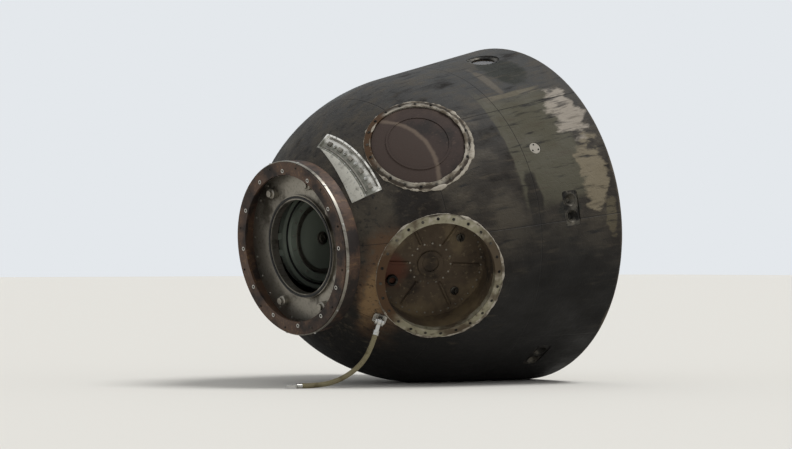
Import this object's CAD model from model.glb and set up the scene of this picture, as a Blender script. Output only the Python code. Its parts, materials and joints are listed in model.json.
# %% [markdown]
# # A landed space capsule
# The capsule has come back through the air base first, so its skin is charred and streaked from the wide
# end to the nose. It lies on its side with the hatch open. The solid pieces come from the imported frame, and
# this lesson gives them their finish and adds what is too fine or too soft for them: bolts, seals, rails,
# cushions, harnesses and the ragged sealant round the parachute bays.

# %% Load the frame
import json
import math

import bmesh
import bpy
from mathutils import Matrix, Vector, noise


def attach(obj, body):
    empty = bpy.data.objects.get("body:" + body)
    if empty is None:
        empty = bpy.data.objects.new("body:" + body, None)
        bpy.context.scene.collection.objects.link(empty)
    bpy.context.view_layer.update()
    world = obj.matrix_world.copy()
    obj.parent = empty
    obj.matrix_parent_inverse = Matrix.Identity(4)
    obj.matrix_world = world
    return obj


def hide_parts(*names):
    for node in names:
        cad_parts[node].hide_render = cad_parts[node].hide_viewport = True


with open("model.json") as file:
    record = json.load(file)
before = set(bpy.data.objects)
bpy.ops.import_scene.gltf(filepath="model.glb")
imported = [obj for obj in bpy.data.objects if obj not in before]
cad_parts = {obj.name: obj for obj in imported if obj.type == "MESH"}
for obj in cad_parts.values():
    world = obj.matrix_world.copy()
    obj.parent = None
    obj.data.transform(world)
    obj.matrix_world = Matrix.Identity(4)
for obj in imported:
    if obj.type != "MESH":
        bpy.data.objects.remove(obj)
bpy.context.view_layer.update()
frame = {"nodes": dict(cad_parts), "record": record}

# %% [markdown]
# ## Directions on the capsule
# Nothing on a capsule is square to the room, so places are given as on the real thing: a station is the
# distance from the base along the axis, and a clock angle runs round it, 0 on top and 180 on the ground. The
# frame's record holds the collar's face and the hatch's axis, and those two give all the rest.

# %% Stations and clock angles
BASE_RADIUS, CONE_ANGLE, CONE_HEIGHT = 1.26, math.radians(7.3), 1.0
SHOULDER_RADIUS, COLLAR_FACE = 1.5, 2.085
mounts = {mount["name"]: mount for mount in frame["record"]["mounts"]}
joints = {joint["name"]: joint for joint in frame["record"]["behaviour"]["joints"]}
nose = Vector(mounts["collar_bolts"]["axis"])
top_side = Vector(joints["hatch_hinge"]["axis"])
base = Vector(mounts["collar_bolts"]["pos_m"]) - nose * COLLAR_FACE
upright = Matrix((top_side, nose.cross(top_side), nose)).transposed().to_4x4()
upright.translation = base
arc_radius = BASE_RADIUS - CONE_HEIGHT * math.tan(CONE_ANGLE) - SHOULDER_RADIUS * math.cos(CONE_ANGLE)
arc_station = CONE_HEIGHT - SHOULDER_RADIUS * math.sin(CONE_ANGLE)


def towards(clock):
    """Unit vector from the axis to a clock angle, in the upright capsule."""
    return Vector((math.cos(math.radians(clock)), -math.sin(math.radians(clock)), 0))


def frame_at(origin, outwards, round_way):
    """Matrix of a place: z points outwards and x the given way, as far as it is square to z."""
    z = outwards.normalized()
    x = (round_way - z * round_way.dot(z)).normalized()
    place = Matrix((x, z.cross(x), z)).transposed().to_4x4()
    place.translation = origin
    return place


def on_skin(station, clock, lift=0.0):
    """Place on the skin: z out, x towards smaller clock angles and y to the nose."""
    lean, radius = CONE_ANGLE, BASE_RADIUS - station * math.tan(CONE_ANGLE)
    if station > CONE_HEIGHT:
        lean = math.asin((station - arc_station) / SHOULDER_RADIUS)
        radius = arc_radius + SHOULDER_RADIUS * math.cos(lean)
    out = towards(clock) * math.cos(lean) + Vector((0, 0, math.sin(lean)))
    origin = towards(clock) * radius + Vector((0, 0, station)) + out * lift
    return upright @ frame_at(origin, out, towards(clock - 90))


def on_axis(station, clock=0.0, reach=0.0):
    """Place across the axis: z to the nose, x away from the axis at a clock angle."""
    origin = towards(clock) * reach + Vector((0, 0, station))
    return upright @ frame_at(origin, Vector((0, 0, 1)), towards(clock))


def shifted(place, x=0.0, y=0.0, z=0.0):
    """Place moved along its own directions."""
    return place @ Matrix.Translation((x, y, z))


def turned(place, degrees, axis):
    """Place turned about one of its own axes."""
    return place @ Matrix.Rotation(math.radians(degrees), 4, axis)


def facing_rear(station, clock=0.0, reach=0.0):
    """As on_axis, with z to the base, for what is fastened on a rear face."""
    return turned(on_axis(station, clock, reach), 180, "X")


# A bay's opening: its middle on the shoulder, its radius, the width of the ring round it and its depth
main_bay = {"place": on_skin(1.48995, 108.0), "radius": 0.400, "ring": 0.060, "depth": 0.362}
reserve_bay = {"place": on_skin(1.42424, 47.5), "radius": 0.338, "ring": 0.046, "depth": 0.292}
print("base", [round(v, 4) for v in base], "nose", [round(v, 4) for v in nose])

# %% [markdown]
# ## The camera
# The photograph is taken from far away with a long lens, a little below the middle of the capsule, looking at
# its nose and its side at once. A short lens close up would swell the nose, so the distance comes first and
# the lens follows from how much of the picture the capsule should fill.

# %% Put the camera where the photographer stood
DISTANCE, EYE_HEIGHT, LENS = 23.3, 0.9, 140        # metres, metres and millimetres
look = Vector((0.664, 0.748, 0)).normalized()
eye = base - look * DISTANCE
eye.z = EYE_HEIGHT
aim = Vector((-0.10, 0, 1.16))
bpy.ops.object.select_all(action="DESELECT")
bpy.ops.object.camera_add(location=eye, rotation=(aim - eye).to_track_quat("-Z", "Y").to_euler())
camera = bpy.context.object
camera.data.lens = LENS
camera.data.clip_end = 300
bpy.context.scene.camera = camera
print("camera", [round(v, 2) for v in eye], "distance", round((aim - eye).length, 2))

# %% [markdown]
# ## The parachute riser
# The riser is a bundle of webbing in a woven sleeve as thick as a wrist. It hangs from its clevis beside the
# big bay and runs out on the ground to a metal link. It is limp, so it follows its weight. A simulated rope
# would do it too, but for one short hanging strap a smooth curve with six control points set by hand is
# quicker and gives the same shape each time. It is made a mesh, so that its braid can follow the strap.

# %% Lay the riser
RISER_RADIUS = 0.018
RISER_ROUTE = [(-0.7759, -0.5878, 0.3707), (-0.8119, -0.5758, 0.2569), (-0.8799, -0.5338, 0.1447),
               (-0.9819, -0.4678, 0.0607), (-1.1059, -0.3978, 0.018), (-1.2459, -0.3518, 0.018)]


def smooth_line(name, points):
    """Curve object with one open spline whose control points are the points."""
    curve = bpy.data.curves.new(name, "CURVE")
    curve.dimensions = "3D"
    curve.resolution_u = 24
    spline = curve.splines.new("NURBS")
    spline.points.add(len(points) - 1)
    for point, place in zip(spline.points, points):
        point.co = (*place, 1)
    spline.order_u = 3
    spline.use_endpoint_u = True
    line = bpy.data.objects.new(name, curve)
    bpy.context.scene.collection.objects.link(line)
    return line


riser = smooth_line("riser_sleeve", RISER_ROUTE)
bare = bpy.data.meshes.new_from_object(riser)
riser_path = [tuple(vertex.co) for vertex in bare.vertices]
riser_length = sum((Vector(b) - Vector(a)).length for a, b in zip(riser_path, riser_path[1:]))
riser.data.bevel_depth = RISER_RADIUS
riser.data.bevel_resolution = 5
riser.data.use_fill_caps = True
bpy.ops.object.select_all(action="DESELECT")
riser.select_set(True)
bpy.context.view_layer.objects.active = riser
bpy.ops.object.convert(target="MESH")
bpy.ops.object.shade_smooth()
riser = bpy.context.object
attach(riser, "capsule")
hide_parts("riser_strap")
print("riser", round(riser_length, 3), "m, uv maps", len(riser.data.uv_layers))

# %% [markdown]
# ## The studio
# A pale floor keeps the capsule's shadow, and a pale sky colour that only the camera and reflections see
# stands behind it. Softboxes could light it, but the object is large, and one broad sun from the upper right
# with an even world light reaches all of it alike: together they show a colour about as it is written.

# %% Floor, sky and light


def linear(hex_code):
    """Colour written as sRGB hex, as the shader wants it."""
    parts = [int(hex_code[i:i + 2], 16) / 255 for i in (0, 2, 4)]
    return tuple(c / 12.92 if c <= 0.04045 else ((c + 0.055) / 1.055) ** 2.4 for c in parts) + (1.0,)


def node(tree, kind, feeds=None, **settings):
    """One node with its settings. Feeds gives each input a value, or the node or output that it reads."""
    new = tree.nodes.new("ShaderNode" + kind)
    for setting, value in settings.items():
        setattr(new, setting, value)
    for name, feed in (feeds or {}).items():
        socket = new.inputs[name] if isinstance(name, int) else next(
            s for s in new.inputs if s.name == name and s.enabled)
        if isinstance(feed, bpy.types.Node):
            feed = next(s for s in feed.outputs if s.enabled)
        if isinstance(feed, bpy.types.NodeSocket):
            tree.links.new(feed, socket)
        else:
            socket.default_value = feed
    return new


def finish(name, base_colour, **sockets):
    """New material, its shader's constants set on the sockets, and its node tree."""
    made = bpy.data.materials.new(name)
    made.use_nodes = True
    shader = made.node_tree.nodes["Principled BSDF"]
    shader.inputs["Base Color"].default_value = linear(base_colour)
    for socket, value in sockets.items():
        shader.inputs[socket.replace("_", " ")].default_value = value
    return made, made.node_tree, shader


EVEN_LIGHT, SUNSHINE, SUN_WIDTH, FLOOR_SIZE = 0.55, 1.9, 24, 240
world = bpy.data.worlds.new("pale_studio")
bpy.context.scene.world = world
world.use_nodes = True
world.node_tree.nodes.clear()
rays = node(world.node_tree, "LightPath")
seen = node(world.node_tree, "Math", {0: rays.outputs["Is Camera Ray"], 1: rays.outputs["Is Glossy Ray"]},
            operation="MAXIMUM")
seen = node(world.node_tree, "Math", {0: seen, 1: rays.outputs["Is Transmission Ray"]}, operation="MAXIMUM")
even = node(world.node_tree, "Background", {"Color": linear("ffffff"), "Strength": EVEN_LIGHT})
sky = node(world.node_tree, "Background", {"Color": linear("e4e8ec"), "Strength": 1.0})
both = node(world.node_tree, "MixShader", {0: seen, 1: even, 2: sky})
node(world.node_tree, "OutputWorld", {"Surface": both})

bpy.ops.object.select_all(action="DESELECT")
sunlight = Vector((-0.36, 0.30, -0.86))
bpy.ops.object.light_add(type="SUN", rotation=sunlight.to_track_quat("-Z", "Y").to_euler())
sun = bpy.context.object
sun.data.energy = SUNSHINE
sun.data.angle = math.radians(SUN_WIDTH)

bpy.ops.object.select_all(action="DESELECT")
bpy.ops.mesh.primitive_plane_add(size=FLOOR_SIZE, location=(0, 0, 0))
floor = bpy.context.object
floor.name = "pale_floor"
# Matt wall paint: an even pale ground with no highlight
floor_paint, _, _ = finish("pale_floor_paint", "dcdad4", Roughness=0.9, Specular_IOR_Level=0.1)
floor.data.materials.append(floor_paint)
view = bpy.context.scene.view_settings
view.view_transform = "Standard"
print("floor", FLOOR_SIZE, "m wide, sun", SUNSHINE, "over an even light of", EVEN_LIGHT)

# %% [markdown]
# ## Finishes: how a pattern finds its place
# The solids come as loose triangles with no map to paint on, so every finish here is painted by position.
# Object coordinates are metres in the room, and one Mapping node turns them into the capsule's own: x to the
# top side and z the station. Another puts a patch, such as a scorch mark, exactly where it is seen, with a
# noise that frays its edge. Sizes of patterns are in millimetres, sizes and places of patches in metres.

# %% Helpers for procedural finishes
NOISE_LUMP = 600        # millimetres across a lump of Blender's noise at a scale of 1


def capsule_place(tree):
    """Where a point is on the upright capsule, in metres."""
    where = node(tree, "TexCoord").outputs["Object"]
    return node(tree, "Mapping", {"Vector": where, "Location": upright.translation,
                                  "Rotation": upright.to_euler()}, vector_type="TEXTURE")


def cloud(tree, where, size, detail=4.0, drawn=1.0, shift=0.0):
    """Noise whose lumps are about size millimetres, drawn out along the axis by a factor."""
    scaled = node(tree, "VectorMath", {0: where, 1: (1, 1, 1 / drawn)}, operation="MULTIPLY")
    moved = node(tree, "VectorMath", {0: scaled, 1: (shift, shift, shift)}, operation="ADD")
    return node(tree, "TexNoise", {"Vector": moved, "Scale": NOISE_LUMP / size, "Detail": detail,
                                   "Roughness": 0.6})


def patch(tree, place, width, height, fray=0.5, grain=60, square=False):
    """Value that is under 1 inside a patch at a place. Its edge frays by a share, in grains sized in mm."""
    where = node(tree, "TexCoord").outputs["Object"]
    size = (width / 2, height / 2, max(width, height))
    local = node(tree, "Mapping", {"Vector": where, "Location": place.translation,
                                   "Rotation": place.to_euler(), "Scale": size}, vector_type="TEXTURE")
    if square:
        sides = node(tree, "SeparateXYZ", {0: node(tree, "VectorMath", {0: local}, operation="ABSOLUTE")})
        reach = node(tree, "Math", {0: sides.outputs["X"], 1: sides.outputs["Y"]}, operation="MAXIMUM")
    else:
        reach = node(tree, "VectorMath", {0: local}, operation="LENGTH").outputs["Value"]
    ragged = cloud(tree, capsule_place(tree), grain, 7.0, 2.2)
    swing = node(tree, "Math", {0: ragged, 1: 0.5}, operation="SUBTRACT")
    return node(tree, "Math", {0: swing, 1: 2 * fray, 2: reach}, operation="MULTIPLY_ADD")


def coloured(tree, shader, ground, reliefs):
    """Gives the shader its colour and its bumps, each a pattern and its height in metres."""
    tree.links.new(ground.outputs[2], shader.inputs["Base Color"])
    last = None
    for pattern, height in reliefs:
        feeds = {"Height": pattern, "Distance": height, "Strength": 1.0}
        if last:
            feeds["Normal"] = last
        last = node(tree, "Bump", feeds)
        tree.links.new(last.outputs[0], shader.inputs["Normal"])


def layered(tree, ground, layers):
    """Colours laid one over another. Each comes in as its pattern goes from the first value to the second."""
    if isinstance(ground, str):
        ground = linear(ground)
    for pattern, hidden, shown, tint in layers:
        cover = node(tree, "MapRange", {"Value": pattern, "From Min": hidden, "From Max": shown},
                     interpolation_type="SMOOTHSTEP")
        ground = node(tree, "Mix", {"Factor": cover, "A": ground, "B": linear(tint)}, data_type="RGBA")
    return ground


def roughened(tree, shader, pattern, low, high):
    """Roughness that follows a pattern."""
    spread = node(tree, "MapRange", {"Value": pattern, "From Min": 0.3, "From Max": 0.7,
                                     "To Min": low, "To Max": high})
    tree.links.new(spread.outputs[0], shader.inputs["Roughness"])


# %% [markdown]
# ## Charred skin
# The side wall and shoulder are resin and glass fibre that has burnt from the outside in. It is nearly black
# below, olive brown on the flank and greyer on top where ash stays, with fine streaks from base to nose, pale
# patches where the char has flaked off and rust-brown scorching between the collar and the big bay. It could
# be painted by hand, but not on a solid without a map. So each patch is a row of a table, set at the station
# and clock angle where it is seen, and the grain, cracks and seams of the blocks are bump.

# %% Char the skin
CRACKS = 26                                # crazing cells to the metre: about 38 mm across
BLOCK_LENGTH, BLOCK_TURN = 0.36, 22.5      # the skin's blocks: metres along and degrees round to a seam
# Station and clock of the middle, width round and height along, fray, grain in mm, whether it is square,
# the values at which it is gone and full, and its colour
SKIN_PATCHES = [
    (0.53, 61, 0.88, 0.58, 0.24, 100, True, 1.10, 0.88, "4b483b"),      # olive flank
    (0.80, 56, 0.80, 0.05, 0.50, 50, True, 1.20, 0.60, "4d4a3e"),       # its seam towards the nose
    (0.50, 39, 0.05, 0.50, 0.50, 50, True, 1.20, 0.70, "5a5446"),       # its upper seam
    (0.21, 52, 0.44, 0.29, 1.10, 60, False, 1.12, 0.82, "91897e"),      # palest flake beside the rim
    (0.18, 75, 0.52, 0.24, 1.10, 50, False, 1.12, 0.82, "736a58"),      # tan flake under it
    (0.10, 90, 0.30, 0.11, 1.10, 50, False, 1.12, 0.80, "4f4838"),      # last of the flakes
    (0.36, 25, 0.46, 0.32, 0.50, 80, False, 1.12, 0.80, "1f2019"),      # dark green beside the window
    (0.58, 28, 0.44, 0.08, 0.60, 60, False, 1.15, 0.60, "544e45"),      # pale arc beside that
    (0.46, 86, 0.16, 0.20, 0.45, 50, False, 1.10, 0.80, "1b1a14"),      # soot of the thrusters
    (0.74, 82, 0.50, 0.14, 0.60, 70, False, 1.10, 0.75, "231f19"),      # and its wake
    (1.80, 113, 0.95, 0.46, 0.60, 110, False, 1.25, 0.55, "503c2a"),    # rust between collar and bay
    (1.86, 120, 0.50, 0.16, 0.80, 60, False, 1.25, 0.55, "70593d"),     # its tan middle
    (1.62, 76, 0.46, 0.34, 0.60, 70, False, 1.15, 0.70, "19140f"),      # soot between the two bays
    (1.30, 330, 0.90, 0.50, 0.60, 100, False, 1.10, 0.70, "4e504e"),    # ash on the far shoulder
    (0.30, 300, 0.60, 0.34, 0.60, 80, False, 1.10, 0.75, "6b6152"),     # flakes on the far side
    (0.62, 268, 0.50, 0.60, 0.70, 90, False, 1.10, 0.75, "4b4232"),     # olive again, past the sight
    (1.45, 250, 0.70, 0.50, 0.60, 90, False, 1.10, 0.75, "433323"),     # rust low on the far shoulder
]


def skin_patch(tree, station, clock, width, height, fray, grain, square, gone, full, tint):
    """Row of the table as a layer."""
    return patch(tree, on_skin(station, clock), width, height, fray, grain, square), gone, full, tint


def char_skin():
    """Char: matt and nearly black, a little glazed in the darker blotches, streaked along the axis."""
    made, tree, shader = finish("charred_skin", "29241e", Specular_IOR_Level=0.3)
    where = capsule_place(tree)
    sides = node(tree, "SeparateXYZ", {0: where})
    station, up = sides.outputs["Z"], sides.outputs["X"]
    broad = cloud(tree, where, 420, 5.0, 1.8)
    blotch = cloud(tree, where, 130, 6.0, 1.5, 3.0)
    streak = cloud(tree, where, 22, 4.0, 14.0, 7.0)
    fibre = cloud(tree, where, 6, 3.0, 3.0, 1.0)      # glass fibre, coarser than real so that it shows
    raised = node(tree, "Math", {0: broad, 1: 0.9, 2: up}, operation="MULTIPLY_ADD")
    ground = layered(tree, "29241e", [
        (raised, 0.75, 1.75, "3c3c3b"),
        (blotch, 0.46, 0.68, "3b352b"),
        (blotch, 0.44, 0.30, "1a1612"),
        (raised, 0.50, -0.25, "0d0b09"),
    ])
    ground = layered(tree, ground, [skin_patch(tree, *row) for row in SKIN_PATCHES] + [
        (streak, 0.52, 0.80, "463f34"),
        (streak, 0.46, 0.26, "120f0c"),
        (fibre, 0.66, 0.86, "5a5347"),
        skin_patch(tree, 0.60, 140, 2.10, 1.35, 0.30, 160, False, 1.10, 0.50, "100e0b"),    # the low flank
        (raised, -0.05, -0.55, "0c0a08"),
    ])
    rim = node(tree, "Math", {0: blotch, 1: 0.10, 2: station}, operation="MULTIPLY_ADD")
    ground = layered(tree, ground, [(rim, 0.085, 0.045, "5b5348")])
    cracks = node(tree, "TexVoronoi", {"Vector": where, "Scale": CRACKS}, feature="DISTANCE_TO_EDGE")
    crazed = node(tree, "MapRange", {"Value": cracks, "From Min": 0.0, "From Max": 0.09})
    rings = node(tree, "Math", {0: station, 1: BLOCK_LENGTH}, operation="PINGPONG")
    turns = node(tree, "Math", {0: sides.outputs["Y"], 1: up}, operation="ARCTAN2")
    staves = node(tree, "Math", {0: turns, 1: math.radians(BLOCK_TURN)}, operation="PINGPONG")
    seam = node(tree, "Math", {0: rings, 1: staves}, operation="MINIMUM")
    groove = node(tree, "MapRange", {"Value": seam, "From Min": 0.0, "From Max": 0.0045})
    ground = layered(tree, ground, [(groove, 0.75, 0.0, "14110e")])
    roughened(tree, shader, blotch, 0.92, 0.62)
    coloured(tree, shader, ground, [
        (blotch, 0.010), (groove, 0.003), (streak, 0.0022), (crazed, 0.0009), (fibre, 0.0008)])
    return made


def dress(finish_made, *nodes):
    """Gives CAD nodes a finish by their material slots."""
    for name in nodes:
        for slot in frame["nodes"][name].material_slots:
            slot.material = finish_made
    print(finish_made.name, "on", ", ".join(nodes))


dress(char_skin(), "side_wall", "dome_wall")

# %% [markdown]
# The reserve bay's cover is resin and fibre of its own, set in sealant, and has burnt to a redder brown than
# the skin round it. A seam shows through it as a paler arc. A cut line would need more shape than there is,
# so the arc is drawn where the distance from a point beside the cover comes to one value.

# %% Char the cover


def char_cover():
    """Redder char: matt, with fibres showing and one pale arc."""
    made, tree, shader = finish("charred_cover", "372b25", Roughness=0.8, Specular_IOR_Level=0.35)
    where = capsule_place(tree)
    broad = cloud(tree, where, 160, 5.0, 1.4)
    fibre = cloud(tree, where, 8, 4.0, 4.0)
    arc = patch(tree, shifted(reserve_bay["place"], -0.08, 0.47), 1.04, 1.04, 0.03, 40)
    ground = layered(tree, "332722", [
        (broad, 0.46, 0.70, "45372e"),
        (broad, 0.46, 0.30, "1f1814"),
        (fibre, 0.58, 0.80, "53443a"),
    ])
    ground = layered(tree, ground, [
        (arc, 1.04, 1.00, "5f5247"),
        (arc, 0.985, 0.94, "3a2e28"),
    ])
    coloured(tree, shader, ground, [(broad, 0.006), (fibre, 0.0010)])
    return made


dress(char_cover(), "reserve_bay_cover")

# %% [markdown]
# ## Rings round the bays
# Each ring is a glass-fibre frame whose light paint has burnt unevenly: palest towards the base, broken below
# and brown towards the collar. The reserve bay's ring has charred like the skin in its outer half. An edge
# could be cut into the ring for that, but paint has no step, so it is drawn by the distance from the bay.

# %% Scorch the rings


def ring_paint(name, bay, pale, bare, brown_clock, brown_station):
    """Paint of a bay's ring. Bare is the share of its width, from the opening, that isn't charred."""
    made, tree, shader = finish(name, "8f897c", Roughness=0.8, Specular_IOR_Level=0.3)
    where = capsule_place(tree)
    chips = cloud(tree, where, 30, 6.0, 1.0, 5.0)
    broad = cloud(tree, where, 200, 4.0, 1.0, 2.0)
    ground = layered(tree, pale, [
        (chips, 0.50, 0.66, "9b9485"),
        (chips, 0.46, 0.32, "5a5042"),
        (broad, 0.50, 0.36, "4b4031"),
    ])
    outer = 2 * (bay["radius"] + bare * bay["ring"])
    edge = patch(tree, bay["place"], outer, outer, 0.10, 50)
    burnt = patch(tree, on_skin(brown_station, brown_clock), 0.62, 0.50, 0.45, 80)
    ground = layered(tree, ground, [
        (edge, 0.97, 1.03, "332b22"),
        (burnt, 1.15, 0.70, "46321f"),
    ])
    coloured(tree, shader, ground, [(broad, 0.004), (chips, 0.0016)])
    return made


# Chalky burnt paint: matt and pale, the lightest large thing on the capsule, with dark chips 30 mm across
main_ring_paint = ring_paint("scorched_main_ring", main_bay, "87826d", 1.0, 114.0, 1.80)
reserve_ring_paint = ring_paint("scorched_reserve_ring", reserve_bay, "8b867c", 0.5, 30.0, 1.66)
dress(main_ring_paint, "main_bay_ring")
dress(reserve_ring_paint, "reserve_bay_ring")

# %% [markdown]
# ## Bay lining and panel
# The parachute has gone from the main bay, and its cup is stained brown by the charge and by dust, with a
# reddish mark beside the small vent. The light panel is white enamel, bright along the lip towards the base
# and grey with dust from the tray on. Two materials would need a cut in the panel, so one material goes from
# the first to the second by the station.

# %% Stain the bays and the panel


def bay_stain():
    """Stained resin: matt brown in lumps, a little glossier where the charge has baked it."""
    made, tree, shader = finish("stained_bay_lining", "4a3d2f", Roughness=0.75, Specular_IOR_Level=0.3)
    where = capsule_place(tree)
    broad = cloud(tree, where, 220, 5.0)
    fine = cloud(tree, where, 18, 5.0, 1.0, 4.0)
    red_mark = shifted(main_bay["place"], -0.06, 0.30, -0.30)
    ground = layered(tree, "4b3f31", [
        (broad, 0.48, 0.66, "6a5c45"),
        (broad, 0.46, 0.34, "2f271f"),
        (fine, 0.56, 0.74, "6f634f"),
        (patch(tree, red_mark, 0.30, 0.24, 0.8, 70), 1.25, 0.5, "573527"),
    ])
    roughened(tree, shader, broad, 0.85, 0.6)
    coloured(tree, shader, ground, [(broad, 0.004), (fine, 0.0008)])
    return made


def enamel(name, bright, dusty, soot, bright_to=None, dusty_from=None):
    """White enamel, which may go from bright to dusty between two stations."""
    made, tree, shader = finish(name, bright, Roughness=0.45)
    where = capsule_place(tree)
    dust = cloud(tree, where, 50, 5.0)
    specks = cloud(tree, where, 12, 4.0, 1.0, 3.0)
    ground = bright
    if dusty_from:
        station = node(tree, "SeparateXYZ", {0: where}).outputs["Z"]
        ground = layered(tree, ground, [(station, bright_to, dusty_from, dusty)])
    ground = layered(tree, ground, [
        (dust, 0.50, 0.72, dusty),
        (specks, 0.60, 0.76, soot),
    ])
    roughened(tree, shader, dust, 0.4, 0.65)
    coloured(tree, shader, ground, [])
    return made


dress(bay_stain(), "main_bay_canister", "reserve_bay_canister")
# A clean line of white with a soft shine, then grey
dress(enamel("bright_panel_enamel", "e9e8e2", "75756b", "55534b", 1.785, 1.812), "light_panel")
# Dull grey-brown, still paler than the skin round it
dress(enamel("dusty_plug_enamel", "8f897d", "6c665b", "433f38"), "wall_plugs")
# Off-white plastic, clean because the heat shield covered it
dress(enamel("antenna_cover", "cfccc2", "a49f92", "6d675b"), "altimeter")

# %% [markdown]
# ## Metals
# The collar has been in the hottest wake and is brown-red with soot, the hatch plate behind it is cleaner
# alloy, the base was under the heat shield until late and stays bright, and the thrusters and windows are
# sooted steel. Each could have nodes of its own, but they differ in colour, soot and roughness only, so one
# function makes them all, and the sealant's dead white as well.

# %% Metal finishes


def sooted(name, clean, soot, burnt, cover, metallic=0.8, low=0.3, high=0.6, size=160):
    """Surface with soot in patches of a size in mm, which take more of it as cover rises from 0 to 1."""
    made, tree, shader = finish(name, clean, Metallic=metallic)
    where = capsule_place(tree)
    broad = cloud(tree, where, size, 5.0)
    fine = cloud(tree, where, 12, 5.0, 3.0, 6.0)
    edge = 0.68 - 0.36 * cover
    ground = layered(tree, clean, [
        (fine, 0.50, 0.74, burnt),
        (broad, edge - 0.07, edge + 0.09, soot),
    ])
    roughened(tree, shader, broad, low, high)
    coloured(tree, shader, ground, [(broad, 0.0015), (fine, 0.0004)])
    return made


# Heat-tinted alloy: brown-red and half matt, the warmest metal here
collar_metal = sooted("scorched_collar", "4a3527", "1f1611", "6b5036", 0.55, 0.25, 0.5, 0.8)
# Plain alloy with cloudy soot: a soft grey shine
plate_metal = sooted("sooted_alloy", "8d887e", "4a453d", "6f695e", 0.35)
# Clean alloy: bright, mirrors the ground softly, stained in broad patches
base_metal = sooted("base_alloy", "a5a197", "857d6f", "8b8375", 0.40, size=340)
# Motor steel: grey with black soot over half of it
motor_metal = sooted("motor_steel", "8f8a80", "2d2924", "6e6455", 0.50, 0.85, 0.35, 0.65, 100)
# Sooted steel: nearly black, with a shine only where it has been rubbed
sooted_steel = sooted("sooted_steel", "4e4a42", "1c1a17", "6a6357", 0.60, 0.7, 0.4, 0.7, 70)
# Handled steel: the small bright glints of screws, wheel and links
bright_steel = sooted("handled_steel", "b7b5af", "7b776f", "9b9890", 0.10, 0.95, 0.22, 0.4, 100)
dress(collar_metal, "front_collar")
dress(plate_metal, "hatch_plate", "plate_fittings", "hatch_hinge")
dress(base_metal, "base_rim", "base_bulkhead")
dress(motor_metal, "shield_latches", *[f"braking_motor_{k}" for k in range(1, 5)])
dress(sooted_steel, "umbilical_plate", "window_upper_frame", "window_lower_frame", "sight_port_frame",
      *[f"thruster_port_{k}" for k in range(1, 5)])
dress(bright_steel, "hatch_handwheel", "hatch_latches", "panel_plugs", "riser_lug", "riser_clevis",
      "riser_link")

# %% [markdown]
# ## Inside the cabin
# The cabin is painted in quiet greens and greys so that dirt and smoke don't show, with a dull coat that
# doesn't dazzle the crew. The couches are moulded glass-fibre shells under a blue-grey wool cloth. The outer
# panes are smoked brown by the fire outside, and let only a little light in. Threads could be modelled, but
# they are 3 mm apart, so two crossed waves as colour and bump do for every cloth.

# %% Cabin paints, glass and cloth


def coat(name, colour, faded, rough, size=250):
    """Plain paint that fades in patches of a size in mm, with an orange-peel of 3 mm."""
    made, tree, shader = finish(name, colour)
    where = capsule_place(tree)
    broad = cloud(tree, where, size, 3.0)
    peel = cloud(tree, where, 3, 2.0)
    ground = layered(tree, colour, [(broad, 0.45, 0.65, faded)])
    roughened(tree, shader, broad, rough, rough + 0.15)
    coloured(tree, shader, ground, [(peel, 0.0001)])
    return made


WAVE_LENGTH = 100 * math.pi        # millimetres from one band to the next of Blender's wave at a scale of 1


def woven(name, colour, thread_colour, pitch):
    """Cloth whose threads cross at a pitch in mm, faded in patches of 120 mm."""
    made, tree, shader = finish(name, colour, Roughness=0.9, Specular_IOR_Level=0.25, Sheen_Weight=0.25)
    where = capsule_place(tree)
    threads = [node(tree, "TexWave", {"Vector": where, "Scale": WAVE_LENGTH / pitch, "Distortion": 0.6},
                    bands_direction=direction).outputs["Fac"] for direction in ("X", "Z")]
    weave = node(tree, "Math", {0: threads[0], 1: threads[1]}, operation="MAXIMUM")
    broad = cloud(tree, where, 120, 4.0)
    ground = layered(tree, colour, [(weave, 0.9, 0.3, thread_colour), (broad, 0.55, 0.75, thread_colour)])
    coloured(tree, shader, ground, [(weave, 0.0005)])
    return made


# Wool: soft blue-grey with no highlight, a little paler at a slant
couch_cloth = woven("couch_wool", "6f7b84", "586269", 3.5)
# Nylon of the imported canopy: sandy and fine
pack_cloth = woven("pack_nylon", "b9ab8c", "9a8c6e", 3.0)
# Webbing: dark blue, close-woven, stands out from the wool
harness_cloth = woven("harness_webbing", "2f3a46", "222b35", 2.5)
# Dark grey coat: dull, so that the screens shine beside it
console_coat = coat("console_grey", "3b4042", "464b4c", 0.5)
# Rubber: nearly black with a wide soft highlight
rubber = coat("seal_rubber", "1b1b1a", "2a2927", 0.7, 60)
# Green-grey wall paint, half matt
dress(coat("cabin_green_grey", "9aa497", "8b9488", 0.55), "cabin_deck", "couch_struts", "hatch_door")
# Moulded shell: off-white, smoother than the walls
dress(coat("couch_shell_white", "c3c4bd", "b2b3ab", 0.4), "couch_left", "couch_middle", "couch_right")
dress(console_coat, "instrument_panel")
# Locker paint: cool pale blue-grey, half matt
dress(coat("locker_blue_grey", "8e9ba3", "7f8b92", 0.5), "locker_upper", "locker_lower")
# Plain box grey, the most neutral colour in the cabin
dress(coat("equipment_grey", "a3a39c", "93938c", 0.5), "equipment_block")
dress(couch_cloth, "cushions_left", "cushions_middle", "cushions_right")
dress(pack_cloth, "reserve_pack")
# Smoked glass: brown and clear enough to see depth, with a sharp reflection
glass, _, _ = finish("smoked_glass", "5c4a38", Roughness=0.12, Transmission_Weight=0.9, IOR=1.5)
dress(glass, "window_upper_pane", "window_lower_pane", "sight_port_pane")

# %% [markdown]
# The riser's sleeve is a braid: eight strands, 8 mm apart, run round it each way at a slant. Modelled strands
# would be thousands of faces for a strap, so they are bump. The mesh keeps the curve's own map, one way along
# and one way round, so the braid follows the bends. Dust has taken the colour out of it.

# %% Braid of the riser


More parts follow.
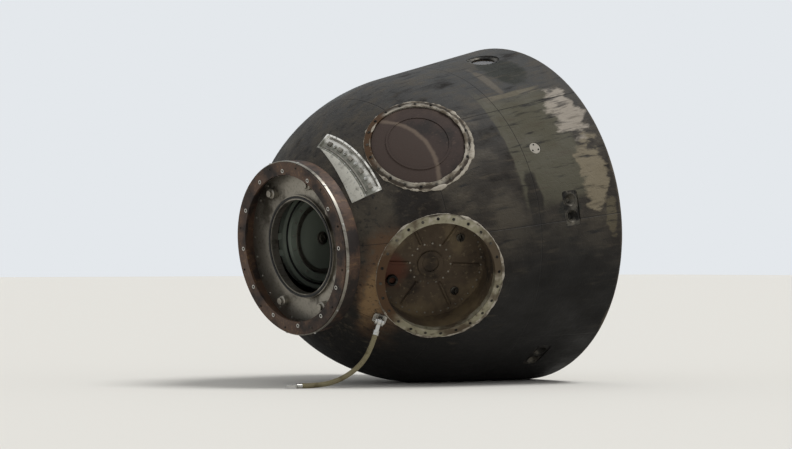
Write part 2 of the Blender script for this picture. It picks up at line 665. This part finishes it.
def braid(name, colour, shade, strand_count, pitch):
    """Braid: matt and dusty, with dark crossings between strands a pitch in mm apart."""
    made, tree, shader = finish(name, colour, Roughness=0.9, Specular_IOR_Level=0.2)
    along = node(tree, "UVMap")
    strands = []
    for way in (-1, 1):
        repeats = (1000 * riser_length / pitch, way * strand_count, 1)
        sides = node(tree, "SeparateXYZ", {0: node(tree, "Mapping", {"Vector": along, "Scale": repeats})})
        slant = node(tree, "Math", {0: sides.outputs["X"], 1: sides.outputs["Y"]}, operation="ADD")
        strands.append(node(tree, "Math", {0: slant, 1: 0.5}, operation="PINGPONG"))
    crossing = node(tree, "Math", {0: strands[0], 1: strands[1]}, operation="MAXIMUM")
    dust = cloud(tree, capsule_place(tree), 50)
    ground = layered(tree, colour, [(crossing, 0.42, 0.20, shade), (dust, 0.5, 0.7, shade)])
    coloured(tree, shader, ground, [(crossing, 0.0015)])
    return made


riser.data.materials.clear()
riser.data.materials.append(braid("dusty_braid", "8f876c", "5d563f", 8, 8))
print("braid on the riser")

# %% [markdown]
# ## Modelling helpers
# Small parts are modelled once, at the origin with z up, by starting from a primitive and working on it in
# edit mode, as one would by hand. Faces are picked in code by their middle and normal, since their numbers
# change with every step.

# %% Select and edit


def clear():
    """Selects nothing."""
    bpy.ops.object.select_all(action="DESELECT")


def pick(rule):
    """Selects the active piece's faces whose middle and normal pass the rule, in edit mode."""
    bpy.ops.mesh.select_mode(type="FACE")
    bpy.ops.mesh.select_all(action="DESELECT")
    mesh = bmesh.from_edit_mesh(bpy.context.object.data)
    for face in mesh.faces:
        face.select_set(rule(face.calc_center_median(), face.normal))
    bmesh.update_edit_mesh(bpy.context.object.data)


def edit():
    """Starts to edit the active piece, all of it selected."""
    bpy.ops.object.mode_set(mode="EDIT")
    bpy.ops.mesh.select_mode(type="VERT")
    bpy.ops.mesh.select_all(action="SELECT")


def settled():
    """Puts the place, turn and size of what is selected in its mesh."""
    bpy.ops.object.transform_apply(location=True, rotation=True, scale=True)


def pull(height):
    """Extrudes what is selected along z."""
    bpy.ops.mesh.extrude_region_move(TRANSFORM_OT_translate={"value": (0, 0, height)})


def rounded(offset, segments=2):
    """Bevels the edges of what is selected."""
    bpy.ops.mesh.bevel(offset=offset, segments=segments, affect="EDGES")


def closed():
    """Selects all, merges points that meet and turns the faces outwards."""
    bpy.ops.mesh.select_all(action="SELECT")
    bpy.ops.mesh.remove_doubles(threshold=1e-5)
    bpy.ops.mesh.normals_make_consistent(inside=False)


def block(width, length, height, middle=0.0):
    """Starts a box whose middle is at a height on the z axis, and edits it."""
    clear()
    bpy.ops.mesh.primitive_cube_add(size=1)
    bpy.context.object.scale = (width, length, height)
    bpy.context.object.location = (0, 0, middle)
    settled()
    edit()


def modelled(smooth=35):
    """Leaves edit mode, puts the piece's place in its mesh and shades it."""
    bpy.ops.object.mode_set(mode="OBJECT")
    settled()
    bpy.ops.object.shade_smooth_by_angle(angle=math.radians(smooth))
    return bpy.context.object


# %% [markdown]
# A finished part could be instanced on points, but copies with their own meshes, joined into one object, are
# pieces that any program can read. Their places are counted round a circle, or looked for on the shoulder:
# that is curved both ways, so a point over a bay is moved in or out until it lies on the arc.

# %% Copy and place


def repeated(name, piece, places, material, body="capsule"):
    """Copies the piece to the places as one object with a finish, which rides a body."""
    copies = []
    for place in places:
        copy = piece.copy()
        copy.data = piece.data.copy()
        bpy.context.scene.collection.objects.link(copy)
        copy.matrix_world = place
        copies.append(copy)
    bpy.data.objects.remove(piece)
    clear()
    for copy in copies:
        copy.select_set(True)
    bpy.context.view_layer.objects.active = copies[0]
    settled()
    if len(copies) > 1:
        bpy.ops.object.join()
    joined = bpy.context.object
    joined.name = name
    joined.data.materials.clear()
    joined.data.materials.append(material)
    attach(joined, body)
    print(name, len(copies), "copies,", len(joined.data.polygons), "faces")
    return joined


def round_places(place, count, radius, lift=0.0, first=0.0):
    """Places on a circle round a place, x outwards."""
    return [shifted(turned(place, first + 360 / count * k, "Z"), radius, 0, lift) for k in range(count)]


def on_bay(bay, radius, turn, lift):
    """Place over the shoulder, from a bay's middle: x away from the middle and z out of the shoulder."""
    flat = upright.inverted() @ bay["place"]
    away = Vector((math.cos(math.radians(turn)), math.sin(math.radians(turn)), 0))
    height = 0.0
    for _ in range(12):
        point = flat @ (away * radius + Vector((0, 0, height)))
        across = Vector((point.x, point.y, 0))
        out = across.normalized() * (across.length - arc_radius) + Vector((0, 0, point.z - arc_station))
        height -= out.length - SHOULDER_RADIUS - lift
    return upright @ frame_at(point, out, flat.to_3x3() @ away)


# %% [markdown]
# ## Bolts
# Everything here is held by socket-head bolts on washers. Threads and shanks don't show, so a bolt is only
# its head: the top of a washer disc is inset and pulled up, then inset and pushed down into the socket. The
# rings' bolts follow the shoulder's curve, so each one is set on the arc and turned to it.

# %% Model a bolt and set the rings' bolts


def bolt(radius, height):
    """Socket-head bolt on its washer."""
    clear()
    bpy.ops.mesh.primitive_cylinder_add(vertices=18, radius=1.45 * radius, depth=0.4 * radius)
    edit()
    pick(lambda middle, normal: normal.z > 0.9)
    bpy.ops.mesh.inset(thickness=0.45 * radius)
    pull(height - 0.2 * radius)
    rounded(0.12 * radius)
    top = 0.9 * height
    pick(lambda middle, normal: normal.z > 0.9 and middle.z > top and middle.xy.length < 0.1 * radius)
    bpy.ops.mesh.inset(thickness=0.35 * radius)
    pull(-0.6 * height)
    return modelled()


RING_PROUD = 0.005        # metres that the rings stand above the shoulder's arc
for name, bay, count, first in (("main_ring_bolts", main_bay, 24, 7.5),
                                ("reserve_ring_bolts", reserve_bay, 20, 9.0)):
    middle = bay["radius"] + 0.5 * bay["ring"]
    places = [on_bay(bay, middle, first + 360 / count * k, RING_PROUD) for k in range(count)]
    repeated(name, bolt(0.0075, 0.006), places, sooted_steel)

# %% [markdown]
# ## Sealant round the rings
# A bead of white silicone filled the gap between each ring and the skin, and the fire has left it swollen in
# some places and gone in others. It could be sculpted, but never twice the same. Here it starts as a fine
# torus round the bay, its points are set on the shoulder's arc, and seeded noise makes it thick and thin.

# %% Ragged beads of sealant
# Where it is fullest in degrees round the bay, the scales of two noises, and its width to its height
FULLEST, LUMPS, GRAINS, SQUASH = 238, 4.0, 13.0, 1.7


def sealant_bead(name, bay, radius, thick, lift, seed):
    """Bead round a bay, fullest low down on the base's side."""
    clear()
    bpy.ops.mesh.primitive_torus_add(major_segments=240, minor_segments=8, major_radius=radius,
                                     minor_radius=thick)
    bead = bpy.context.object
    for vertex in bead.data.vertices:
        turn = math.atan2(vertex.co.y, vertex.co.x)
        round_way = Vector((math.cos(turn), math.sin(turn), seed))
        full = 0.55 + 0.45 * math.cos(turn - math.radians(FULLEST))
        swell = max(0.12, full + 1.1 * noise.noise(round_way * LUMPS) + 0.5 * noise.noise(round_way * GRAINS))
        place = on_bay(bay, radius, math.degrees(turn), lift)
        vertex.co = place @ Vector(((vertex.co.xy.length - radius) * SQUASH * swell, 0, vertex.co.z * swell))
    edit()
    bpy.ops.mesh.normals_make_consistent(inside=False)
    return repeated(name, modelled(60), [Matrix.Identity(4)], burnt_sealant)


# Burnt silicone: chalky white with soot in the hollows, no shine at all
burnt_sealant = sooted("burnt_sealant", "a49d90", "5b5245", "857b6c", 0.45, 0.0, 0.8, 0.95, 50)
main_edge, reserve_edge = (bay["radius"] + bay["ring"] for bay in (main_bay, reserve_bay))
sealant_bead("main_ring_sealant", main_bay, main_edge, 0.0065, 0.001, 3.0)
sealant_bead("reserve_ring_sealant", reserve_bay, reserve_edge, 0.009, 0.001, 8.0)
sealant_bead("reserve_cover_sealant", reserve_bay, reserve_bay["radius"] + 0.006, 0.007, 0.004, 5.0)

# %% [markdown]
# ## Rings, washers and seals
# A flat ring is a circle of edges pulled up, out, down and back in, then closed by merging, which is cleaner
# than cutting one cylinder out of another. The hatch's rubber seal, the collar's clamp band, the bushings in
# its bolt holes and the mouths of the thrusters are all such rings of other sizes.

# %% Rings on the collar, hatch and ports


def flat_ring(inner, outer, height, segments=48, edge=0.0):
    """Ring standing on z = 0, its two upper edges rounded by edge."""
    clear()
    bpy.ops.mesh.primitive_circle_add(vertices=segments, radius=inner)
    edit()
    for rise, share in ((height, outer / inner), (-height, inner / outer)):
        pull(rise)
        bpy.ops.mesh.extrude_region_move()
        bpy.ops.transform.resize(value=(share, share, 1), center_override=(0, 0, 0))
    closed()
    if edge:
        pick(lambda middle, normal: normal.z > 0.9)
        rounded(edge, 3)
    return modelled()


# Stations, radii and the hatch's swing in degrees, as in the CAD
PLATE_FACE, HATCH_SEAT, DOOR_FRONT, DOOR_REAR, HATCH_SWING = 1.970, 1.992, 1.924, 1.892, 96
BAND_STATION, BAND_RADIUS, BOLT_CIRCLE, FLANGE_CIRCLE = 2.052, 0.6275, 0.556, 0.590
hinge = Vector(joints["hatch_hinge"]["pos_m"])
opened = shifted(turned(Matrix.Translation(hinge), HATCH_SWING, top_side), *-hinge)
repeated("hatch_seal", flat_ring(0.349, 0.365, 0.007, 96, 0.002),
         [on_axis(HATCH_SEAT)], rubber)
repeated("door_seal", flat_ring(0.326, 0.342, 0.004, 96, 0.0015),
         [opened @ on_axis(DOOR_FRONT)], rubber, "hatch")
repeated("collar_bushings", flat_ring(0.0085, 0.015, 0.003, 24, 0.0006),
         round_places(on_axis(COLLAR_FACE), 12, BOLT_CIRCLE), bright_steel)
repeated("collar_band", flat_ring(0.6202, BAND_RADIUS, 0.024, 120, 0.002),
         [on_axis(BAND_STATION)], plate_metal)
repeated("band_bolts", bolt(0.007, 0.007),
         [turned(on_axis(BAND_STATION + 0.012, 15 + 30 * k, BAND_RADIUS), 90, "Y") for k in range(12)],
         bright_steel)
repeated("plate_screws", bolt(0.006, 0.005),
         round_places(on_axis(PLATE_FACE), 24, BOLT_CIRCLE, 0, 7.5), bright_steel)
repeated("flange_screws", bolt(0.006, 0.005),
         round_places(on_axis(COLLAR_FACE), 12, FLANGE_CIRCLE, 0, 15), sooted_steel)

# %% [markdown]
# ## Windows, thrusters and the umbilical plate
# Their frames are screwed to the wall under the skin. The thrusters have a thin lip round each mouth, and the
# umbilical's two sockets hold rings of contact pins. One table of places and one screw serve them all,
# since screws of one size on a wall are one purchase in a real workshop too.

# %% Fasteners and mouths in the side wall
# Station and clock of both windows and the sight, with the radius of their circle of screws and their number
WINDOWS = ((0.335, 13, 0.110, 16), (0.335, 193, 0.110, 16), (0.360, 236, 0.0745, 12))
PLUGS = ((0.605, 63), (0.770, 246), (0.605, 297))
THRUSTER_STATION, THRUSTER_CLOCKS, SPACING = 0.440, (86, 146, 266, 326), 0.118
UMBILICAL = (0.175, 302)
screw_places = []
for station, clock, radius, count in WINDOWS:
    screw_places += round_places(on_skin(station, clock, -0.009), count, radius)
for clock in THRUSTER_CLOCKS:
    screw_places += [shifted(on_skin(THRUSTER_STATION, clock, -0.0075), x, y)
                     for x in (-0.112, 0, 0.112) for y in (-0.054, 0.054)]
screw_places += [shifted(on_skin(*UMBILICAL, -0.014), x, y)
                 for x in (-0.095, 0, 0.095) for y in (-0.058, 0.058)]
for station, clock in PLUGS:
    screw_places += round_places(on_skin(station, clock, -0.003), 3, 0.028)
mouths = [shifted(on_skin(THRUSTER_STATION, clock, -0.0078), side * SPACING / 2)
          for clock in THRUSTER_CLOCKS for side in (-1, 1)]
repeated("wall_screws", bolt(0.0045, 0.0035), screw_places, sooted_steel)
repeated("thruster_lips", flat_ring(0.0443, 0.0495, 0.004, 48, 0.001), mouths, sooted_steel)


def contact_pin():
    """Round contact with a tapered tip."""
    clear()
    bpy.ops.mesh.primitive_cylinder_add(vertices=10, radius=0.0022, depth=0.008, location=(0, 0, 0.004))
    edit()
    pick(lambda middle, normal: normal.z > 0.9)
    rounded(0.001)
    return modelled()


pins = []
for side in (-1, 1):
    socket = shifted(on_skin(*UMBILICAL, -0.026), side * 0.042)
    pins += [socket] + round_places(socket, 6, 0.009) + round_places(socket, 12, 0.019)
repeated("umbilical_pins", contact_pin(), pins, bright_steel)

# %% [markdown]
# ## The light panel's fittings
# Two curved rails stiffen the tray beside the collar. They could be bars bent along a curve, but a rectangle
# spun about the capsule's axis keeps the shoulder's curve for nothing. Without a window Blender's spin turns
# clockwise about its axis, as the clock angles do, so its angle is the last clock less the first.

# %% Rails in the panel
PANEL_CLOCKS = (14, 59)


def rail(station, width, height, clocks, lift):
    """Curved rail on the shoulder at a station, between two clock angles, upright."""
    start = turned(upright.inverted() @ on_skin(station, clocks[0], lift), 90, "Y")
    clear()
    bpy.ops.mesh.primitive_plane_add(size=1)
    bpy.context.object.matrix_world = start @ Matrix.Diagonal((height, width, 1, 1))
    settled()
    edit()
    bpy.ops.mesh.spin(steps=36, angle=math.radians(clocks[1] - clocks[0]), center=(0, 0, 0), axis=(0, 0, 1))
    closed()
    return modelled()


for name, station in (("panel_rail_front", 1.845), ("panel_rail_rear", 1.782)):
    repeated(name, rail(station, 0.010, 0.008, PANEL_CLOCKS, -0.012), [upright], plate_metal)

# %% [markdown]
# The real panel is a crescent that widens towards its lower end, onto the skin between it and the collar. The
# wide end is a thin plate: a broad rail laid on the skin, cut slantwise by a plane through both its ends with
# a bisect, and softened along the edges that the cut left sharp.

# %% The panel's wide end
APRON_PROUD, APRON_STATION, APRON_CUT = 0.0025, 1.8985, ((1.866, 15), (1.934, 61))
# Weathered enamel: grey-white and duller than the panel's lip
apron_enamel = enamel("weathered_panel_enamel", "b3b1a7", "74726a", "4d4b43")
rail(APRON_STATION, 0.100, 2 * APRON_PROUD, (14, 62), 0.0)
edit()
apron_start, apron_end = [(upright.inverted() @ on_skin(*corner)).translation for corner in APRON_CUT]
cut = (apron_end - apron_start).cross(towards(38) + Vector((0, 0, 0.3)))
cut = cut if cut.z > 0 else -cut
bpy.ops.mesh.bisect(plane_co=apron_start, plane_no=cut, use_fill=True, clear_outer=True)
bpy.ops.mesh.select_all(action="DESELECT")
bpy.ops.mesh.edges_select_sharp(sharpness=math.radians(40))
rounded(0.0012)
repeated("panel_apron", modelled(), [upright], apron_enamel)
repeated("apron_screws", bolt(0.004, 0.003),
         [on_skin(1.874, clock, APRON_PROUD) for clock in range(27, 62, 8)] +
         [on_skin(1.924, clock, APRON_PROUD) for clock in (53, 60)], bright_steel)

# %% [markdown]
# The tray holds plugs in a row, and small connector boxes stand between them. A box's lid is its top face,
# inset and raised. The lips are screwed down on both sides, every six degrees.

# %% Boxes and screws in the panel
BOX_STATION, LIP_STATIONS = 1.8155, (1.7704, 1.8583)


def connector_box():
    """Box with rounded edges and a raised lid."""
    block(0.042, 0.030, 0.012)
    rounded(0.0025)
    pick(lambda middle, normal: normal.z > 0.95)
    bpy.ops.mesh.inset(thickness=0.004)
    pull(0.002)
    return modelled()


repeated("panel_boxes", connector_box(),
         [on_skin(BOX_STATION, clock, -0.010) for clock in (17.5, 26.5, 36, 46.5, 57)], plate_metal)
repeated("panel_screws", bolt(0.004, 0.003),
         [on_skin(station, clock) for station in LIP_STATIONS for clock in range(13, 62, 6)], bright_steel)

# %% [markdown]
# ## Inside the main bay
# The empty cup shows how the parachute was held: rings of rivets in the floor, six stiffeners that run out
# from a hub, a vent with a flange, and two anchor eyes. Pressed stiffeners are one sheet with the floor. Here
# each is a cube with its top pinched in, set on the floor, which looks the same from outside the bay.

# %% Floor of the bay
floor_place = shifted(main_bay["place"], 0, 0, -main_bay["depth"])
repeated("bay_rivets", bolt(0.0045, 0.003),
         round_places(floor_place, 40, 0.375) + round_places(floor_place, 16, 0.15), plate_metal)


def stiffener():
    """Bar with tapered flanks, lying along x."""
    block(0.20, 0.026, 0.016, 0.008)
    pick(lambda middle, normal: normal.z > 0.9)
    bpy.ops.transform.resize(value=(0.94, 0.45, 1), center_override=(0, 0, 0))
    rounded(0.002)
    return modelled()


lining = frame["nodes"]["main_bay_canister"].material_slots[0].material
repeated("bay_stiffeners", stiffener(), round_places(floor_place, 6, 0.26, 0, 30), lining)
repeated("bay_hub", flat_ring(0.060, 0.095, 0.014, 48, 0.003), [floor_place], lining)
repeated("bay_vent", flat_ring(0.024, 0.040, 0.030, 32, 0.003), [shifted(floor_place, -0.13, 0.27)],
         sooted_steel)


def anchor_eye():
    """Eye standing on a round foot: a torus sunk in a disc."""
    clear()
    bpy.ops.mesh.primitive_torus_add(major_radius=0.020, minor_radius=0.006, major_segments=28,
                                     minor_segments=10, location=(0, 0, 0.024), rotation=(math.pi / 2, 0, 0))
    settled()
    eye_ring = bpy.context.object
    clear()
    bpy.ops.mesh.primitive_cylinder_add(vertices=28, radius=0.030, depth=0.010, location=(0, 0, 0.005))
    eye_ring.select_set(True)
    bpy.ops.object.join()
    edit()
    pick(lambda middle, normal: normal.z > 0.95 and middle.xy.length < 0.001)
    rounded(0.002)
    return modelled()


repeated("bay_anchor_eyes", anchor_eye(), [shifted(floor_place, x, -0.20) for x in (-0.20, 0.20)],
         sooted_steel)

# %% [markdown]
# ## The base
# With the heat shield gone the base shows its working face: screws round the rim, igniter caps on the
# braking motors, the rims of their nozzles, and rings on the altimeter's cover. It is the same bolt and the
# same ring again in other sizes. All of it faces rearwards, so its places are turned over.

# %% Fasteners and covers on the base
RIM_FACE, MOTOR_FACE, ALTIMETER_FACE = -0.012, 0.014, 0.052
RIM_CIRCLE, MOTOR_CIRCLE, NOZZLE_CIRCLE, SCREW_CIRCLE = 1.182, 0.690, 0.092, 0.128
motors = [facing_rear(MOTOR_FACE, clock, MOTOR_CIRCLE) for clock in (45, 135, 225, 315)]
nozzles = [place for motor in motors for place in round_places(motor, 6, NOZZLE_CIRCLE)]
motor_screws = [place for motor in motors for place in round_places(motor, 6, SCREW_CIRCLE, 0, 30)]
repeated("rim_screws", bolt(0.008, 0.007),
         round_places(facing_rear(RIM_FACE), 36, RIM_CIRCLE, 0, 5), bright_steel)
repeated("igniter_caps", bolt(0.024, 0.018), motors, sooted_steel)
repeated("burst_cover_rims", flat_ring(0.0345, 0.0385, 0.003, 24, 0.0008), nozzles, bright_steel)
repeated("motor_screws", bolt(0.006, 0.005), motor_screws, bright_steel)
repeated("altimeter_rings", flat_ring(0.070, 0.076, 0.003, 64, 0.001),
         [facing_rear(ALTIMETER_FACE) @ Matrix.Diagonal((k, k, 1, 1)) for k in (0.35, 0.9, 1.4)], plate_metal)

# %% [markdown]
# ## Instrument panel and lockers
# The panel faces the crew, towards the base. Its two screens are dark glass in a bezel, with a row of square
# keys on both sides and four knobs between. The lockers have two paddle latches each. A screen, a key and a
# latch are all a rounded block whose top dips inside its rim, so one function models them.

# %% Screens, keys, knobs and latches
CONSOLE_TILT, SCREEN_SHIFT, KEY_PITCH, KEY_ROW = -24, 0.155, 0.022, 0.082
LOCKER_CLOCKS, LOCKER_STATION = ((322, 382), (150, 206)), 0.72
LOCKER_DOOR = -0.060 - 0.150 + 0.008       # the wall and the locker, and a latch let 8 mm into its door
console = turned(on_axis(0.930, 280, 0.610), CONSOLE_TILT, "Y")
console_face = turned(shifted(console, 0, 0, -0.055), 180, "X")


def keycap(width, length, height, dish):
    """Key with rounded edges and a top that dips inside its rim."""
    block(width, length, height, height / 2)
    rounded(0.1 * min(width, height))
    pick(lambda middle, normal: normal.z > 0.95)
    bpy.ops.mesh.inset(thickness=0.12 * width)
    pull(-dish)
    return modelled()


# Screen glass: almost black and sharp, the only mirror in the cabin
screen_glass, _, _ = finish("screen_glass", "0c1216", Roughness=0.08)
# Key plastic: plain off-white, half matt
key_white = coat("key_white", "c9c8c0", "b8b7ae", 0.5, 50)
screens = [shifted(console_face, 0, side * SCREEN_SHIFT, -0.0055) for side in (-1, 1)]
keys = [shifted(console_face, x, side * SCREEN_SHIFT + KEY_PITCH * k) for x in (-KEY_ROW, KEY_ROW)
        for side in (-1, 1) for k in range(-4, 5)]
knobs = [shifted(console_face, x) for x in (-0.06, -0.02, 0.02, 0.06)]
latches = [turned(on_skin(LOCKER_STATION, first + share * (last - first), LOCKER_DOOR), 180, "X")
           for first, last in LOCKER_CLOCKS for share in (0.27, 0.73)]
repeated("console_screens", keycap(0.126, 0.206, 0.004, 0.001), screens, screen_glass)
repeated("console_keys", keycap(0.014, 0.016, 0.007, 0.001), keys, key_white)
repeated("console_knobs", bolt(0.011, 0.018), knobs, bright_steel)
repeated("locker_latches", keycap(0.050, 0.026, 0.009, 0.003), latches, bright_steel)

# %% [markdown]
# ## Hatch door
# The side that faces the cabin carries the handwheel and the latch bolts. Each latch runs in a keeper, and
# the door's rim is screwed down. The outer face has a ring of bolts and a socket for a rescuer's key. A
# keeper is bent sheet: a strip cut in five, thickened, with its two end faces pulled down as feet. All of
# these ride on the door, so they swing with it.

# %% Keepers and screws on the door
PLUG_FACE, DOOR_RIM, LATCH_CIRCLE, PLUG_CIRCLE = 1.948, 0.359, 0.300, 0.288
door_inner, plug_face = opened @ facing_rear(DOOR_REAR), opened @ on_axis(PLUG_FACE)
repeated("door_rim_screws", bolt(0.006, 0.005),
         round_places(door_inner, 24, DOOR_RIM, 0.014, 7.5), bright_steel, body="hatch")


def keeper():
    """Bridge over a latch bolt."""
    clear()
    bpy.ops.mesh.primitive_grid_add(x_subdivisions=1, y_subdivisions=5, size=1)
    bpy.context.object.scale = (0.020, 0.060, 1)
    bpy.context.object.location = (0, 0, 0.028)
    settled()
    edit()
    pull(-0.004)
    closed()
    for side in (-1, 1):
        pick(lambda middle, normal: normal.z < -0.9 and side * middle.y > 0.02)
        pull(-0.024)
    closed()
    return modelled()


repeated("latch_keepers", keeper(), round_places(door_inner, 6, LATCH_CIRCLE), plate_metal, body="hatch")
repeated("door_plug_ring", flat_ring(0.225, 0.262, 0.006, 96, 0.0015), [plug_face], plate_metal, body="hatch")
repeated("door_plug_bolts", bolt(0.0065, 0.006), round_places(plug_face, 18, PLUG_CIRCLE), bright_steel,
         body="hatch")
repeated("door_outer_socket", bolt(0.034, 0.016), [plug_face], plate_metal, body="hatch")

# %% [markdown]
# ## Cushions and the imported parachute
# A cushion is foam in a sewn cover. It could be drawn puffed, but it is blown up instead, because real seams
# pull the cloth in ways that are hard to draw: a copy of the solid is remeshed, its underside and its seam
# lines are held, and cloth under pressure crowns between them. The cap would stop a point that ran away.
# The reserve parachute is packed the same way, held at its laced top.

# %% Blow up the padded pieces
couch_turns = {"left": -1, "middle": 0, "right": 1}
# As in the CAD: degrees round, metres across, degrees of turn, height of the back, where the seat begins
CREW_CLOCK, COUCH_SPREAD, COUCH_TURN, COUCH_BACK, COUCH_HIP = 100, 0.455, 17, 0.366, 0.010


def couch_place(side):
    """Place of a couch: x to its head, y across it and z to the nose."""
    return turned(shifted(on_axis(0, CREW_CLOCK), 0, side * COUCH_SPREAD), side * COUCH_TURN, "Z")


PRESSURE, CLOTH_STEPS = 5.0, 20        # lifts half of the free points by 1.5 mm or more


def blown_up(name, node_name, local, held_rule, shrink, cap, voxel):
    """Cushion grown from a CAD solid. Points whose local place and normal pass the rule are held."""
    clear()
    solid = frame["nodes"][node_name]
    pad = solid.copy()
    pad.data = solid.data.copy()
    bpy.context.scene.collection.objects.link(pad)
    pad.name = name
    pad.select_set(True)
    bpy.context.view_layer.objects.active = pad
    edit()
    closed()
    bpy.ops.transform.shrink_fatten(value=-shrink)
    bpy.ops.object.mode_set(mode="OBJECT")
    pad.data.remesh_voxel_size = voxel
    bpy.ops.object.voxel_remesh()
    start = [vertex.co.copy() for vertex in pad.data.vertices]
    to_local = local.inverted()
    held = [v.index for v in pad.data.vertices if held_rule(to_local @ v.co, to_local.to_3x3() @ v.normal)]
    pad.vertex_groups.new(name="held").add(held, 1.0, "REPLACE")
    cloth = pad.modifiers.new("pressure", "CLOTH")
    cloth.settings.quality = 4
    cloth.settings.use_pressure = True
    cloth.settings.uniform_pressure_force = PRESSURE
    cloth.settings.vertex_group_mass = "held"
    cloth.settings.effector_weights.gravity = 0
    cloth.collision_settings.use_collision = False
    cloth.point_cache.frame_end = CLOTH_STEPS
    for step in range(1, CLOTH_STEPS + 1):
        bpy.context.scene.frame_set(step)
    bpy.ops.object.modifier_apply(modifier="pressure")
    bpy.context.scene.frame_set(1)
    for vertex, began in zip(pad.data.vertices, start):
        moved = vertex.co - began
        if moved.length > cap:
            vertex.co = began + moved * (cap / moved.length)
    smooth = pad.modifiers.new("smooth", "SUBSURF")
    smooth.levels = smooth.render_levels = 1
    bpy.ops.object.modifier_apply(modifier="smooth")
    bpy.ops.object.shade_smooth()
    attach(pad, "capsule")
    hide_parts(node_name)
    print(name, len(held), "held of", len(start), "points")
    return pad


SEAM_PITCH, SEAM_WIDTH, SEAT_RISE = 0.150, 0.006, 0.075
BACK_DOWN, SEAT_DOWN = Vector((0, 0, -1)), Vector((-0.775, 0, -0.632))


def couch_held(place, normal):
    """Underside, and channels across the back and the seat at the seam pitch."""
    seat = place.z > COUCH_BACK + SEAT_RISE
    along = place.z - COUCH_BACK if seat else place.x
    channel = abs((along + SEAM_PITCH / 2) % SEAM_PITCH - SEAM_PITCH / 2) < SEAM_WIDTH
    under = normal.dot(SEAT_DOWN if seat else BACK_DOWN) > 0.3
    return under or channel or abs(place.y) < SEAM_WIDTH and place.x < COUCH_HIP


for side_name, side in couch_turns.items():
    pad = blown_up(f"cushion_{side_name}", f"cushions_{side_name}", couch_place(side), couch_held,
                   shrink=0.004, cap=0.012, voxel=0.0075)


def pack_held(place, normal):
    """Underside, side wall, and four laced lines across the top."""
    turn = math.atan2(place.y, place.x) % (math.pi / 4)
    laced = min(turn, math.pi / 4 - turn) * place.xy.length < 0.008
    return normal.z < 0.3 or laced


pack = blown_up("packed_reserve", "reserve_pack", reserve_bay["place"], pack_held,
                shrink=0.010, cap=0.022, voxel=0.012)

# %% [markdown]
# ## Harnesses
# Each couch has two shoulder straps and two lap straps that meet in a round buckle. A bevelled curve is round
# and webbing is flat, so a band two points wide is extruded along its path and given its thickness. The path
# is read off the couch: over the wing at the head, down the back and up from the hips.

# %% Lay the webbing on the couches
STRAP_WIDTH, STRAP_THICK, CUSHION_TOP = 0.044, 0.0022, COUCH_BACK + 0.044 + 0.010
BUCKLE = (0.230, 0.0)


def webbing(path):
    """Flat band along a path in the couch's own space, from a point's place to the next."""
    clear()
    bpy.ops.mesh.primitive_plane_add(size=1)
    band = bpy.context.object
    first, second = Vector(path[0]), Vector(path[1])
    sideways = (second - first).cross(Vector((0, 0, 1))).normalized() * STRAP_WIDTH / 2
    for vertex, corner in zip(band.data.vertices, (first - sideways, first + sideways, second - sideways,
                                                   second + sideways)):
        vertex.co = corner
    edit()
    for near, far in zip(path[1:], path[2:]):
        bpy.ops.mesh.select_all(action="DESELECT")
        mesh = bmesh.from_edit_mesh(band.data)
        for vertex in mesh.verts:
            vertex.select_set((vertex.co - Vector(near)).length < 0.6 * STRAP_WIDTH)
        mesh.select_flush(True)
        bmesh.update_edit_mesh(band.data)
        bpy.ops.mesh.extrude_region_move(TRANSFORM_OT_translate={"value": Vector(far) - Vector(near)})
    bpy.ops.object.mode_set(mode="OBJECT")
    thick = band.modifiers.new("thick", "SOLIDIFY")
    thick.thickness, thick.offset = STRAP_THICK, 0.0
    smooth = band.modifiers.new("smooth", "SUBSURF")
    smooth.levels = smooth.render_levels = 2
    bpy.ops.object.modifier_apply(modifier="thick")
    bpy.ops.object.modifier_apply(modifier="smooth")
    bpy.ops.object.shade_smooth()
    return band


couches = [couch_place(side) for side in couch_turns.values()]
# Along the couch, across it and over the cushion, in metres
SHOULDER_STRAP = [(0.735, 0.085, 0.012), (0.66, 0.085, 0.004), (0.56, 0.083, 0), (0.44, 0.070, 0),
                  (0.33, 0.042, 0.003), (BUCKLE[0] + 0.025, 0.020, 0.010)]
LAP_STRAP = [(0.115, 0.140, -0.010), (0.135, 0.115, 0.002), (0.170, 0.070, 0.006),
             (BUCKLE[0] - 0.015, 0.024, 0.010)]
for side, side_name in ((-1, "left"), (1, "right")):
    for strap, path in (("shoulder", SHOULDER_STRAP), ("lap", LAP_STRAP)):
        laid = [(x, side * y, CUSHION_TOP + z) for x, y, z in path]
        repeated(f"{strap}_straps_{side_name}", webbing(laid), couches, harness_cloth)
repeated("harness_buckles", bolt(0.026, 0.014),
         [shifted(couch, *BUCKLE, CUSHION_TOP + 0.004) for couch in couches], bright_steel)
